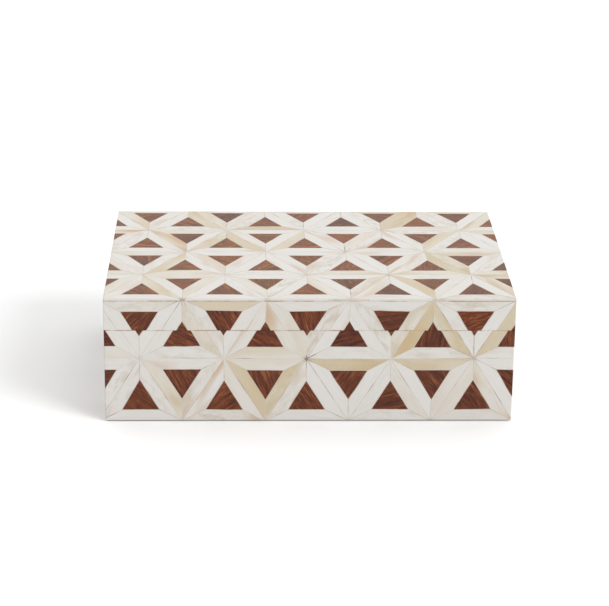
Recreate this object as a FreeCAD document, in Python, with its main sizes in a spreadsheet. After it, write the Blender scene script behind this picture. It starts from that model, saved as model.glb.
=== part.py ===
import FreeCAD, Part
import math
import os

import Sketcher
from FreeCAD import Matrix, Vector

# A hinged wooden box, veneered all over with a triangle lattice: every cell of the lattice is a
# dark wood triangle framed by three mitred bone strips, bedded in a tinted resin filler.
# The box is veneered closed and then sawn open, so the saw's cut is missing from the pattern.
# Row frame: +Z up, +X to the right, the front faces -Y. The origin is the centre of the underside.

doc = FreeCAD.newDocument("inlaid_box")

# ---------------------------------------------------------------- driving dimensions, millimetres

sheet = doc.addObject("Spreadsheet::Sheet", "Sizes")

DRIVING = [
    ("box_width", 305, "outside, side to side"),
    ("box_depth", 206, "outside, front to back, without the hinge barrels"),
    ("box_height", 98.5, "outside, with the felt"),
    ("lid_height", 25, "outside height of the lid"),
    ("seam_gap", 0.4, "between the closed lid and the base"),
    ("saw_kerf", 4.4, "height of pattern lost at the seam"),
    ("skin", 2, "thickness of the inlay"),
    ("cell_width", 62.2, "lattice, between two nodes on one line"),
    ("top_row", 52.6, "lattice, between two lines of nodes on the top"),
    ("rows_up", 2, "rows of cells up the sides"),
    ("triangle_side", 28.2, "side of a wood triangle"),
    ("strip_width", 9.2, "width of the bone strips that lie along the lines of nodes"),
    ("joint_width", 0.3, "resin joint between two inlay pieces"),
    ("wall", 10, "thickness of the wooden walls and rails"),
    ("floor_board", 6, "thickness of the base's bottom board"),
    ("top_board", 6, "thickness of the lid's board"),
    ("felt", 0.8, "thickness of the felt under the base"),
    ("felt_inset", 2.5, "felt set back from the outside edges"),
    ("lining", 1.2, "thickness of the velvet-covered card"),
    ("lining_reveal", 1.5, "bare wood between the lining and the rim"),
    ("hinge_length", 38, "along the pin"),
    ("hinge_inset", 62, "from the end of the box to the middle of a hinge"),
    ("leaf_width", 11, "from the pin's axis to the leaf's inner edge"),
    ("leaf_thickness", 1.6, "brass sheet"),
    ("leaf_fit", 0.1, "room round a leaf in its mortise"),
    ("knuckle_radius", 2, "outside of the barrel"),
    ("knuckle_length", 12.4, "the lid leaf's single knuckle"),
    ("knuckle_gap", 0.2, "end play each side of that knuckle"),
    ("barrel_clearance", 0.2, "between a barrel and what turns past it"),
    ("pin_radius", 1, "hinge pin"),
    ("pin_play", 0.06, "radial, in the lid leaf's knuckle"),
    ("stop_angle", 100, "opening at which the heel meets the base leaf"),
    ("stop_play", 0.04, "left between heel and leaf at the stop"),
    ("heel_length", 1.6, "length of the heel's stop face"),
    ("screw_spacing", 24, "between a leaf's two screws"),
    ("screw_line", 7.2, "from the pin's axis to the screws"),
    ("screw_radius", 1, "shank"),
    ("screw_head_radius", 2, "countersunk head"),
    ("screw_length", 9, "head included"),
    ("screw_fit", 0.08, "room round a screw in its leaf"),
    ("slot_width", 0.6, "screwdriver slot"),
    ("slot_depth", 0.6, "screwdriver slot"),
]
for row, (alias, value, note) in enumerate(DRIVING, 1):
    sheet.set(f"A{row}", alias)
    sheet.set(f"B{row}", str(value))
    sheet.set(f"C{row}", note)
    sheet.setAlias(f"B{row}", alias)
doc.recompute()


def size(expression):
    """The number that an expression of the sheet's sizes comes to."""
    found = sheet.evalExpression(expression)
    return float(getattr(found, "Value", found))


# Levels and planes that several pieces share, as expressions of the sheet's cells.
HALF_W = "Sizes.box_width / 2"
HALF_D = "Sizes.box_depth / 2"
HEIGHT = "Sizes.box_height"
LID_RIM = "(Sizes.box_height - Sizes.lid_height)"
BASE_RIM = "(Sizes.box_height - Sizes.lid_height - Sizes.seam_gap)"
CORE_X = "(Sizes.box_width / 2 - Sizes.skin)"
CORE_Y = "(Sizes.box_depth / 2 - Sizes.skin)"
ROOM_X = "(Sizes.box_width / 2 - Sizes.skin - Sizes.wall)"
ROOM_Y = "(Sizes.box_depth / 2 - Sizes.skin - Sizes.wall)"
FLOOR = "(Sizes.felt + Sizes.floor_board)"
CEILING = "(Sizes.box_height - Sizes.skin - Sizes.top_board)"
SETBACK = "(Sizes.knuckle_radius + Sizes.barrel_clearance)"
PIN_Y = f"({HALF_D} + {SETBACK})"
PIN_Z = f"({LID_RIM} - Sizes.seam_gap / 2)"
HINGE_X = f"({HALF_W} - Sizes.hinge_inset)"
HALF_GAP = "Sizes.seam_gap / 2"

parts = []


def piece(obj, label):
    """Marks an object of the document as a sub-part of the box."""
    obj.Label = label
    parts.append(obj)
    return obj


# ---------------------------------------------------------------- wooden carcass and linings


def bind(obj, **expressions):
    for name, expression in expressions.items():
        obj.setExpression(name.replace("_", "."), expression)


def place(obj, x, y, z):
    bind(obj, Placement_Base_x=x, Placement_Base_y=y, Placement_Base_z=z)
    return obj


def board(name, x, y, z):
    """A rectangular board between two planes on each axis, given as (low, high) expressions."""
    made = doc.addObject("Part::Box", name)
    bind(
        made,
        Length=f"{x[1]} - ({x[0]})",
        Width=f"{y[1]} - ({y[0]})",
        Height=f"{z[1]} - ({z[0]})",
    )
    return place(made, x[0], y[0], z[0])


def four_walls(prefix, suffix, x_out, y_out, thickness, z):
    """Front and back at full width with the sides butted between them; returns them by side."""
    x_in = f"({x_out} - {thickness})"
    y_in = f"({y_out} - {thickness})"
    return {
        "front": board(f"{prefix}_front_{suffix}", (f"-{x_out}", x_out), (f"-{y_out}", f"-{y_in}"), z),
        "back": board(f"{prefix}_back_{suffix}", (f"-{x_out}", x_out), (y_in, y_out), z),
        "left": board(f"{prefix}_left_{suffix}", (f"-{x_out}", f"-{x_in}"), (f"-{y_in}", y_in), z),
        "right": board(f"{prefix}_right_{suffix}", (x_in, x_out), (f"-{y_in}", y_in), z),
    }


def hinge_mortises(prefix, low, screw_low):
    """What the back wall loses to both hinges: a shallow mortise each, and two pilot holes."""
    tools = []
    for side, sign in (("left", "-"), ("right", "")):
        middle = f"({sign}{HINGE_X})"
        reach = "(Sizes.hinge_length / 2 + Sizes.leaf_fit)"
        tools.append(
            board(
                f"{prefix}_{side}_mortise",
                (f"{middle} - {reach}", f"{middle} + {reach}"),
                (f"{PIN_Y} - Sizes.leaf_width - Sizes.leaf_fit", f"{HALF_D} + Sizes.skin"),
                (low, f"{low} + Sizes.leaf_thickness"),
            )
        )
        for hand, step in (("a", "-"), ("b", "+")):
            pilot = doc.addObject("Part::Cylinder", f"{prefix}_{side}_pilot_{hand}")
            bind(pilot, Radius="Sizes.screw_radius", Height="Sizes.screw_length")
            place(
                pilot,
                f"{middle} {step} Sizes.screw_spacing / 2",
                f"{PIN_Y} - Sizes.screw_line",
                screw_low,
            )
            tools.append(pilot)
    return tools


def cut_away(label, base, tools):
    gathered = doc.addObject("Part::MultiFuse", f"{label}_tools")
    gathered.Shapes = tools
    made = doc.addObject("Part::Cut", f"{label}_cut")
    made.Base = base
    made.Tool = gathered
    return made


piece(
    board("base_board", (f"-{CORE_X}", CORE_X), (f"-{CORE_Y}", CORE_Y), ("Sizes.felt", FLOOR)),
    "base_bottom_board",
)
base_walls = four_walls("base", "wall_box", CORE_X, CORE_Y, "Sizes.wall", (FLOOR, BASE_RIM))
base_mortises = hinge_mortises(
    "base", f"({BASE_RIM} - Sizes.leaf_thickness)", f"{BASE_RIM} - Sizes.screw_length"
)
base_walls["back"] = cut_away("base_back_wall", base_walls["back"], base_mortises)

piece(
    board("lid_board", (f"-{CORE_X}", CORE_X), (f"-{CORE_Y}", CORE_Y), (CEILING, f"{HEIGHT} - Sizes.skin")),
    "lid_top_board",
)
lid_rails = four_walls("lid", "rail_box", CORE_X, CORE_Y, "Sizes.wall", (LID_RIM, CEILING))
lid_mortises = hinge_mortises("lid", LID_RIM, LID_RIM)
lid_rails["back"] = cut_away("lid_back_rail", lid_rails["back"], lid_mortises)

for side in ("front", "back", "left", "right"):
    piece(base_walls[side], f"base_{side}_wall")
    piece(lid_rails[side], f"lid_{side}_rail")

# Velvet-covered cards: one flat card on the floor and one under the lid, four standing round each.
BASE_CARD = f"({FLOOR} + Sizes.lining)"
LID_CARD = f"({CEILING} - Sizes.lining)"
piece(
    board("base_floor_card", (f"-{ROOM_X}", ROOM_X), (f"-{ROOM_Y}", ROOM_Y), (FLOOR, BASE_CARD)),
    "base_floor_lining",
)
piece(
    board("lid_ceiling_card", (f"-{ROOM_X}", ROOM_X), (f"-{ROOM_Y}", ROOM_Y), (LID_CARD, CEILING)),
    "lid_ceiling_lining",
)
base_cards = four_walls(
    "base", "card", ROOM_X, ROOM_Y, "Sizes.lining", (BASE_CARD, f"{BASE_RIM} - Sizes.lining_reveal")
)
lid_cards = four_walls(
    "lid", "card", ROOM_X, ROOM_Y, "Sizes.lining", (f"{LID_RIM} + Sizes.lining_reveal", LID_CARD)
)
for side in ("front", "back", "left", "right"):
    piece(base_cards[side], f"base_{side}_lining")
    piece(lid_cards[side], f"lid_{side}_lining")

FELT_X = f"({HALF_W} - Sizes.felt_inset)"
FELT_Y = f"({HALF_D} - Sizes.felt_inset)"
piece(
    board("felt_sheet", (f"-{FELT_X}", FELT_X), (f"-{FELT_Y}", FELT_Y), ("0", "Sizes.felt")),
    "felt_base_pad",
)


# ---------------------------------------------------------------- brass stop hinges
# Each part of a hinge is a body in the hinge's own frame: X along the pin, the pin's axis at the
# origin, +Y out of the back of the box. Its Placement carries it to the seam.


def new_body(name):
    return doc.addObject("PartDesign::Body", name)


def sketch_on(body, name, plane, offset=(None, None, None)):
    """A sketch on one of the body's origin planes, moved by expressions in its own axes."""
    made = body.newObject("Sketcher::SketchObject", name)
    found = [f for f in body.Origin.OriginFeatures if f.Role == plane]
    made.AttachmentSupport = [(found[0], "")]
    made.MapMode = "FlatFace"
    for axis, expression in zip("xyz", offset):
        if expression:
            made.setExpression(f"AttachmentOffset.Base.{axis}", expression)
    return made


def hold(sketch, kind, geometry, point, expression):
    """Ties a point's place along one sketch axis to an expression."""
    number = sketch.addConstraint(Sketcher.Constraint(kind, -1, 1, geometry, point, size(expression)))
    sketch.setExpression(f"Constraints[{number}]", expression)


def outline(sketch, corners):
    """A closed polygon whose corners are held at pairs of expressions."""
    at = [Vector(size(x), size(y), 0) for x, y in corners]
    lines = [sketch.addGeometry(Part.LineSegment(a, b)) for a, b in zip(at, at[1:] + at[:1])]
    for here, following in zip(lines, lines[1:] + lines[:1]):
        sketch.addConstraint(Sketcher.Constraint("Coincident", here, 2, following, 1))
    for number, (x, y) in zip(lines, corners):
        hold(sketch, "DistanceX", number, 1, x)
        hold(sketch, "DistanceY", number, 1, y)


def circle(sketch, radius):
    """A circle about the sketch's origin."""
    made = sketch.addGeometry(Part.Circle(Vector(0, 0, 0), Vector(0, 0, 1), size(radius)))
    sketch.addConstraint(Sketcher.Constraint("Coincident", made, 3, -1, 1))
    number = sketch.addConstraint(Sketcher.Constraint("Radius", made, size(radius)))
    sketch.setExpression(f"Constraints[{number}]", radius)


def pad(body, name, sketch, length, both_ways=False):
    made = body.newObject("PartDesign::Pad", name)
    made.Profile = sketch
    made.SideType = "Symmetric" if both_ways else "One side"
    made.setExpression("Length", length)
    return made


def pocket(body, name, sketch, length):
    made = body.newObject("PartDesign::Pocket", name)
    made.Profile = sketch
    made.SideType = "Symmetric"
    made.setExpression("Length", length)
    return made


def rectangle(x, y):
    return [(x[0], y[0]), (x[1], y[0]), (x[1], y[1]), (x[0], y[1])]


HALF_HINGE = "Sizes.hinge_length / 2"
HALF_KNUCKLE = "Sizes.knuckle_length / 2"
HALF_NOTCH = "(Sizes.knuckle_length / 2 + Sizes.knuckle_gap)"
DEEP = "4 * Sizes.knuckle_radius"


def screw_holes(body, name, leaf_face, way):
    """Two countersunk holes, mirrored about the leaf's middle. way is 1 if the heads face up."""
    profile = sketch_on(
        body, f"{name}_hole_profile", "XZ_Plane", ("Sizes.screw_spacing / 2", None, "Sizes.screw_line")
    )
    shank = "(Sizes.screw_radius + Sizes.screw_fit)"
    head = "(Sizes.screw_head_radius + Sizes.screw_fit)"
    outline(
        profile,
        [
            ("0", leaf_face),
            (head, leaf_face),
            (shank, f"{leaf_face} - {way} * ({head} - {shank})"),
            (shank, f"{leaf_face} - {way} * 2 * Sizes.leaf_thickness"),
            ("0", f"{leaf_face} - {way} * 2 * Sizes.leaf_thickness"),
        ],
    )
    hole = body.newObject("PartDesign::Groove", f"{name}_hole")
    hole.Profile = profile
    hole.ReferenceAxis = (profile, ["V_Axis"])
    hole.Angle = 360
    doc.recompute()
    pair = body.newObject("PartDesign::Mirrored", f"{name}_holes")
    pair.Originals = [hole]
    pair.MirrorPlane = ([f for f in body.Origin.OriginFeatures if f.Role == "YZ_Plane"][0], [""])
    body.Tip = pair


def bore(body, name, radius):
    drilled = sketch_on(body, f"{name}_bore_circle", "YZ_Plane")
    circle(drilled, radius)
    pocket(body, f"{name}_bore", drilled, "2 * Sizes.hinge_length")


def base_leaf(name):
    """The lower leaf: a plate with two end knuckles, the pin's tight fit."""
    body = new_body(name)
    plan = sketch_on(body, f"{name}_plan", "XY_Plane", (None, None, f"-{HALF_GAP} - Sizes.leaf_thickness"))
    outline(plan, rectangle((f"-{HALF_HINGE}", HALF_HINGE), ("-Sizes.leaf_width", "0")))
    pad(body, f"{name}_plate", plan, "Sizes.leaf_thickness")
    barrel = sketch_on(body, f"{name}_barrel_circle", "YZ_Plane")
    circle(barrel, "Sizes.knuckle_radius")
    pad(body, f"{name}_barrel", barrel, "Sizes.hinge_length", both_ways=True)
    notch = sketch_on(body, f"{name}_notch_plan", "XY_Plane")
    outline(notch, rectangle((f"-{HALF_NOTCH}", HALF_NOTCH), (f"-{SETBACK}", DEEP)))
    pocket(body, f"{name}_notch", notch, DEEP)
    bore(body, name, "Sizes.pin_radius")
    screw_holes(body, name, f"-{HALF_GAP}", 1)
    return body


def lid_leaf(name):
    """The upper leaf: a plate with one middle knuckle, whose heel stops the lid."""
    body = new_body(name)
    plan = sketch_on(body, f"{name}_plan", "XY_Plane", (None, None, HALF_GAP))
    outline(
        plan,
        [
            (f"-{HALF_HINGE}", "-Sizes.leaf_width"),
            (HALF_HINGE, "-Sizes.leaf_width"),
            (HALF_HINGE, f"-{SETBACK}"),
            (HALF_KNUCKLE, f"-{SETBACK}"),
            (HALF_KNUCKLE, "0"),
            (f"-{HALF_KNUCKLE}", "0"),
            (f"-{HALF_KNUCKLE}", f"-{SETBACK}"),
            (f"-{HALF_HINGE}", f"-{SETBACK}"),
        ],
    )
    pad(body, f"{name}_plate", plan, "Sizes.leaf_thickness")
    barrel = sketch_on(body, f"{name}_barrel_circle", "YZ_Plane")
    circle(barrel, "Sizes.knuckle_radius")
    pad(body, f"{name}_barrel", barrel, "Sizes.knuckle_length", both_ways=True)
    # The stop face stands upright against the base leaf's edge once the lid has turned by
    # stop_angle; here it is drawn turned back by that angle.
    reach = f"({SETBACK} - Sizes.stop_play)"
    turn = "(180 - Sizes.stop_angle) * 1 deg"
    start = (f"{reach} * cos({turn})", f"-{reach} * sin({turn})")
    tip = (
        f"{reach} * cos({turn}) + Sizes.heel_length * sin({turn})",
        f"-{reach} * sin({turn}) + Sizes.heel_length * cos({turn})",
    )
    heel = sketch_on(body, f"{name}_heel_outline", "YZ_Plane")
    outline(heel, [("0", "0"), start, tip, ("Sizes.knuckle_radius", "0")])
    pad(body, f"{name}_heel", heel, "Sizes.knuckle_length", both_ways=True)
    bore(body, name, "Sizes.pin_radius + Sizes.pin_play")
    screw_holes(body, name, HALF_GAP, -1)
    return body


def pin(name):
    """A plain brass pin, its ends flush with the barrel's."""
    made = doc.addObject("Part::Cylinder", name)
    bind(made, Radius="Sizes.pin_radius", Height="Sizes.hinge_length")
    made.Placement.Rotation = FreeCAD.Rotation(Vector(0, 1, 0), 90)
    return made


def screw(name, way):
    """A slotted countersunk screw about its own Z axis, head face at 0. way is 1 if it faces up."""
    body = new_body(name)
    profile = sketch_on(body, f"{name}_profile", "XZ_Plane")
    outline(
        profile,
        [
            ("0", "0"),
            ("Sizes.screw_head_radius", "0"),
            ("Sizes.screw_radius", f"-{way} * (Sizes.screw_head_radius - Sizes.screw_radius)"),
            ("Sizes.screw_radius", f"-{way} * (Sizes.screw_length - 2 * Sizes.screw_radius)"),
            ("0", f"-{way} * Sizes.screw_length"),
        ],
    )
    turned = body.newObject("PartDesign::Revolution", f"{name}_turned")
    turned.Profile = profile
    turned.ReferenceAxis = (profile, ["V_Axis"])
    turned.Angle = 360
    slot = sketch_on(body, f"{name}_slot_plan", "XY_Plane")
    half_slot = "Sizes.slot_width / 2"
    outline(
        slot,
        rectangle(
            ("-2 * Sizes.screw_head_radius", "2 * Sizes.screw_head_radius"), (f"-{half_slot}", half_slot)
        ),
    )
    pocket(body, f"{name}_slot", slot, "2 * Sizes.slot_depth")
    return body


def screw_pair(name, middle, leaf_face, way):
    """Both screws of one leaf: one on the right of its middle and its mirror image on the left."""
    right = screw(f"{name}_right", way)
    place(right, f"{middle} + Sizes.screw_spacing / 2", f"{PIN_Y} - Sizes.screw_line", leaf_face)
    left = doc.addObject("Part::Mirroring", f"{name}_left")
    left.Source = right
    left.Normal = Vector(1, 0, 0)
    left.setExpression("Base.x", middle)
    both = doc.addObject("Part::Compound", f"{name}_both")
    both.Links = [right, left]
    return both


for side, sign in (("left", "-"), ("right", "")):
    middle = f"({sign}{HINGE_X})"
    for make, kind in ((base_leaf, "base_leaf"), (lid_leaf, "lid_leaf")):
        leaf = piece(make(f"{side}_{kind}_body"), f"hinge_{side}_{kind}")
        place(leaf, middle, PIN_Y, PIN_Z)
    rod = piece(pin(f"{side}_pin_rod"), f"hinge_{side}_pin")
    place(rod, f"{middle} - {HALF_HINGE}", PIN_Y, PIN_Z)
    piece(screw_pair(f"{side}_base_screw", middle, BASE_RIM, 1), f"hinge_{side}_base_screws")
    piece(screw_pair(f"{side}_lid_screw", middle, LID_RIM, -1), f"hinge_{side}_lid_screws")

doc.recompute()

# ---------------------------------------------------------------- inlay
# The lattice is laid out flat on each face, in u and v. Every cell is a triangle with its base on
# one line of nodes and its apex on the next; the lines run along u, and the nodes of every second
# line stand half a cell along. A cell stands on the middle of the front's lowest line, and every
# face is started as far from its corner as the front. The wood triangles are equilateral, and the
# strips round them taper to fill their cells. Pieces are cut off at the face's window and at the seam.

skin = size("Sizes.skin")
cell = size("Sizes.cell_width")
side_pitch = size("(Sizes.box_height - Sizes.seam_gap + Sizes.saw_kerf - Sizes.felt) / Sizes.rows_up")
top_pitch = size("Sizes.top_row")
first_node = size("Sizes.box_width / 2 - Sizes.cell_width / 2") % cell - cell
triangle_side = size("Sizes.triangle_side")
strip_width = size("Sizes.strip_width")
half_joint = size("Sizes.joint_width / 2")
smallest_piece = 4 * half_joint * strip_width


def clipped(polygon, point, normal):
    """What is left of a convex polygon on the side of a line that its normal points to."""
    kept = []
    for a, b in zip(polygon, polygon[1:] + polygon[:1]):
        side_a = (a - point).dot(normal)
        side_b = (b - point).dot(normal)
        if side_a >= 0:
            kept.append(a)
        if side_a * side_b < 0:
            kept.append(a + (b - a) * (side_a / (side_a - side_b)))
    return kept


def area(polygon):
    return sum(a.x * b.y - b.x * a.y for a, b in zip(polygon, polygon[1:] + polygon[:1])) / 2


def fitted(outline_points, window):
    """A piece drawn to its joints' middles, moved in by half a joint and cut off at the window."""
    polygon = window
    for a, b in zip(outline_points, outline_points[1:] + outline_points[:1]):
        along = (b - a).normalize()
        inward = Vector(-along.y, along.x, 0)
        polygon = clipped(polygon, a + inward * half_joint, inward)
        if len(polygon) < 3:
            return None
    tidy = [p for p, q in zip(polygon, polygon[1:] + polygon[:1]) if p.distanceToPoint(q) > half_joint / 4]
    return tidy if len(tidy) > 2 and area(tidy) > smallest_piece else None


def wood_triangle(a, b, c):
    """The equilateral triangle in a cell with base a, b and apex c, a strip's width off the base."""
    along = (b - a).normalize()
    upwards = Vector(0, math.copysign(1, c.y - a.y), 0)
    foot = (a + b) / 2 + upwards * strip_width
    half_base = along * (triangle_side / 2)
    return [foot - half_base, foot + half_base, foot + upwards * (triangle_side * math.sqrt(3) / 2)]


def lattice(window, pitch):
    """The bone strips and wood triangles of one window (low u, high u, low v, high v)."""
    u0, u1, v0, v1 = window
    frame = [
        Vector(u0 + half_joint, v0 + half_joint, 0),
        Vector(u1 - half_joint, v0 + half_joint, 0),
        Vector(u1 - half_joint, v1 - half_joint, 0),
        Vector(u0 + half_joint, v1 - half_joint, 0),
    ]
    bone, wood = [], []
    for line in range(int(v0 // pitch), int(v1 // pitch) + 1):
        shift = 0.5 * (line % 2)
        low, high = line * pitch, (line + 1) * pitch
        for k in range(int(u0 // cell) - 1, int(u1 // cell) + 3):
            here = first_node + (k + shift) * cell
            standing = [(here, low), (here + cell, low), (here + cell / 2, high)]
            hanging = [(here + cell / 2, high), (here - cell / 2, high), (here, low)]
            for corners in (standing, hanging):
                outer = [Vector(u, v, 0) for u, v in corners]
                inner = wood_triangle(*outer)
                wood.append(fitted(inner, frame))
                for i in range(3):
                    j = (i + 1) % 3
                    bone.append(fitted([outer[i], outer[j], inner[j], inner[i]], frame))
    return [p for p in bone if p], [p for p in wood if p]


def slab(polygon, to_face, outward, holes=()):
    """A polygon of the flat layout, stood on its face and given the inlay's thickness inwards."""
    wires = []
    for points in (polygon, *holes):
        stood = [to_face.multVec(p) for p in points]
        wires.append(Part.makePolygon(stood + stood[:1]))
    flat = Part.makeFace(Part.makeCompound(wires), "Part::FaceMakerBullseye")
    return flat.extrude(outward * -skin)


def inlay(label, window, pitch, origin, along_u, along_v, outward, cutters=()):
    """The three nodes of one inlaid face: bone strips, wood triangles and the filler between."""
    to_face = Matrix(
        along_u.x, along_v.x, outward.x, origin.x,
        along_u.y, along_v.y, outward.y, origin.y,
        along_u.z, along_v.z, outward.z, origin.z,
        0, 0, 0, 1,
    )  # fmt: skip
    bone, wood = lattice(window, pitch)
    u0, u1, v0, v1 = window
    edge = [Vector(u0, v0, 0), Vector(u1, v0, 0), Vector(u1, v1, 0), Vector(u0, v1, 0)]
    made = {
        "bone_strips": [slab(p, to_face, outward) for p in bone],
        "wood_triangles": [slab(p, to_face, outward) for p in wood],
        "filler": [slab(edge, to_face, outward, bone + wood)],
    }
    for kind, solids in made.items():
        for cutter in cutters:
            solids = [
                left
                for solid in solids
                for left in (
                    solid.cut(cutter).Solids if solid.BoundBox.intersect(cutter.BoundBox) else [solid]
                )
            ]
        node = doc.addObject("Part::Feature", f"{label}_{kind}_pieces")
        node.Shape = solids[0] if len(solids) == 1 else Part.makeCompound(solids)
        piece(node, f"{label}_{kind}")


half_w, half_d, height = size(HALF_W), size(HALF_D), size(HEIGHT)
base_rim = size(BASE_RIM)
lid_depth = size("Sizes.lid_height")
restart = lid_depth + size("Sizes.saw_kerf")
pattern_foot = restart + base_rim - size("Sizes.felt")
RIGHT, BACK, UP = Vector(1, 0, 0), Vector(0, 1, 0), Vector(0, 0, 1)

inlay(
    "lid_top",
    (0, 2 * half_w, 0, 2 * half_d),
    top_pitch,
    Vector(-half_w, -half_d, height),
    RIGHT,
    BACK,
    UP,
)
# Each side face starts from a top corner of the box. Front and back cover the ends of the sides.
SIDE_FACES = [
    ("front", Vector(-half_w, -half_d, 0), RIGHT, BACK * -1, (0, 2 * half_w)),
    ("back", Vector(half_w, half_d, 0), RIGHT * -1, BACK, (0, 2 * half_w)),
    ("left", Vector(-half_w, -half_d, 0), BACK, RIGHT * -1, (skin, 2 * half_d - skin)),
    ("right", Vector(half_w, -half_d, 0), BACK, RIGHT, (skin, 2 * half_d - skin)),
]
for side, corner, along, outward, (u0, u1) in SIDE_FACES:
    for shell, levels, top, mortises in (
        ("lid", (skin, lid_depth), height, lid_mortises),
        ("base", (restart, pattern_foot), base_rim + restart, base_mortises),
    ):
        window = (u0, u1, *levels)
        origin = corner + UP * top
        cutters = [m.Shape for m in mortises if m.TypeId == "Part::Box"] if side == "back" else []
        inlay(f"{shell}_{side}", window, side_pitch, origin, along, UP * -1, outward, cutters)

# ---------------------------------------------------------------- checks and export

doc.recompute()
for obj in doc.Objects:
    if {"Invalid", "Error"} & set(obj.State):
        raise RuntimeError(f"{obj.Name} failed to build: {obj.State}")
for part in parts:
    if part.Shape.isNull() or not part.Shape.isValid() or part.Shape.Volume <= 0:
        raise RuntimeError(f"{part.Label} has no valid shape")

os.makedirs("parts", exist_ok=True)
for part in parts:
    part.Shape.exportStep(f"parts/{part.Label}.step")
    print(f"{part.Label}: {len(part.Shape.Solids)} solids, {part.Shape.Volume:.1f} mm3")
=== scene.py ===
import math

import bpy
from mathutils import Euler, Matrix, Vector


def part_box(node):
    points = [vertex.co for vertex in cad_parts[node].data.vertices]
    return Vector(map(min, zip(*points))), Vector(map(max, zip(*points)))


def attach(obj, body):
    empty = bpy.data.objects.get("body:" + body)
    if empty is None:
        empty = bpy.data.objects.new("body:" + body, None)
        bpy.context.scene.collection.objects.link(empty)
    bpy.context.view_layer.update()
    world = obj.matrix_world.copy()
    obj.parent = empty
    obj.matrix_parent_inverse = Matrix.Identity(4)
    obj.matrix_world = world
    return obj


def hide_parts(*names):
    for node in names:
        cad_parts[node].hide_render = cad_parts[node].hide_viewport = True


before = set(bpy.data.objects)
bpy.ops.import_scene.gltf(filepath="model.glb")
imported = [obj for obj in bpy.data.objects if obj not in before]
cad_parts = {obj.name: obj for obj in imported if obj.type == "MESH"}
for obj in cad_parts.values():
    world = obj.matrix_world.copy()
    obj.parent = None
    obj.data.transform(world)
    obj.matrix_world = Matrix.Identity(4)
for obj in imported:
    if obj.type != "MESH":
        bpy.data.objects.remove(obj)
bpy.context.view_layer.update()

# ------------------------------------------------------------------------------------- carcass
# The box under its inlay: mango wood boards, butted and glued, planed flat and rubbed with oil.
# Only the sawn rims of the walls and rails show, when the lid is open.

mm = 0.001
rim_wood_light = "#b98d5f"
rim_wood_dark = "#8a5f3a"
mango_ring = 2.6 * mm
mango_pore = 0.35 * mm


def linear(colour):
    """An sRGB hex colour as linear red, green, blue and alpha."""
    parts = [int(colour[i : i + 2], 16) / 255 for i in (1, 3, 5)]
    return (*[p / 12.92 if p <= 0.04045 else ((p + 0.055) / 1.055) ** 2.4 for p in parts], 1.0)


def node(tree, kind, sockets=None, stops=None, **settings):
    """Adds a node. A socket takes a value or, to be linked, a node's first output or any output."""
    made = tree.nodes.new(kind)
    for setting, value in settings.items():
        setattr(made, setting, value)
    for key, value in (sockets or {}).items():
        if isinstance(value, bpy.types.Node):
            value = value.outputs[0]
        if isinstance(value, bpy.types.NodeSocket):
            tree.links.new(value, made.inputs[key])
        else:
            made.inputs[key].default_value = value
    for place, (position, colour) in enumerate(stops or ()):
        ramp = made.color_ramp.elements
        stop = ramp[place] if place < len(ramp) else ramp.new(position)
        stop.position, stop.color = position, linear(colour)
    return made


def new_material(name, roughness, ior=1.5, metallic=0.0):
    """A material with its tree and its shader."""
    made = bpy.data.materials.new(name)
    made.use_nodes = True
    shader = made.node_tree.nodes["Principled BSDF"]
    shader.inputs["Roughness"].default_value = roughness
    shader.inputs["IOR"].default_value = ior
    shader.inputs["Metallic"].default_value = metallic
    return made, made.node_tree, shader


def oiled_mango(name, along):
    """Plain mango wood with its grain along one axis: soft bands crossed by fine short pores."""
    made, tree, shader = new_material(name, roughness=0.55)
    place = node(tree, "ShaderNodeTexCoord").outputs["Object"]
    stretch = [1 / mango_ring] * 3
    stretch[along] *= 0.05
    banded = node(tree, "ShaderNodeMapping", {"Vector": place, "Scale": stretch})
    bands = node(
        tree, "ShaderNodeTexNoise", {"Vector": banded, "Scale": 0.6, "Detail": 4.0, "Distortion": 0.6}
    )
    colour = node(
        tree,
        "ShaderNodeValToRGB",
        {"Fac": bands},
        stops=[(0.36, rim_wood_dark), (0.62, rim_wood_light)],
    )
    fine = [1 / mango_pore] * 3
    fine[along] *= 0.08
    pored = node(tree, "ShaderNodeMapping", {"Vector": place, "Scale": fine})
    pores = node(tree, "ShaderNodeTexNoise", {"Vector": pored, "Scale": 1.0, "Detail": 2.0})
    open_pore = node(tree, "ShaderNodeMapRange", {"Value": pores, "From Min": 0.34, "From Max": 0.44})
    pored_colour = node(
        tree,
        "ShaderNodeMix",
        {0: open_pore, 6: linear("#5c3a22"), 7: colour},
        data_type="RGBA",
    )
    tree.links.new(pored_colour.outputs[2], shader.inputs["Base Color"])
    relief = node(tree, "ShaderNodeBump", {"Height": open_pore, "Strength": 0.3, "Distance": 0.05 * mm})
    tree.links.new(relief.outputs["Normal"], shader.inputs["Normal"])
    return made


mango_across = oiled_mango("oiled mango, grain side to side", along=0)
mango_back = oiled_mango("oiled mango, grain front to back", along=1)
for name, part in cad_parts.items():
    if name.endswith(("_wall", "_rail", "_board")):
        grain_back = "left" in name or "right" in name
        part.data.materials.clear()
        part.data.materials.append(mango_back if grain_back else mango_across)

# --------------------------------------------------------------------------------------- inlay
# The veneered faces, 2 mm thick: strips of camel bone mitred round triangles of sheesham, glued
# down close together, grouted with tinted resin and sanded flush. The box is veneered closed and
# sawn open afterwards, so each piece that the saw met is in two halves, one above the seam.

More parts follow.
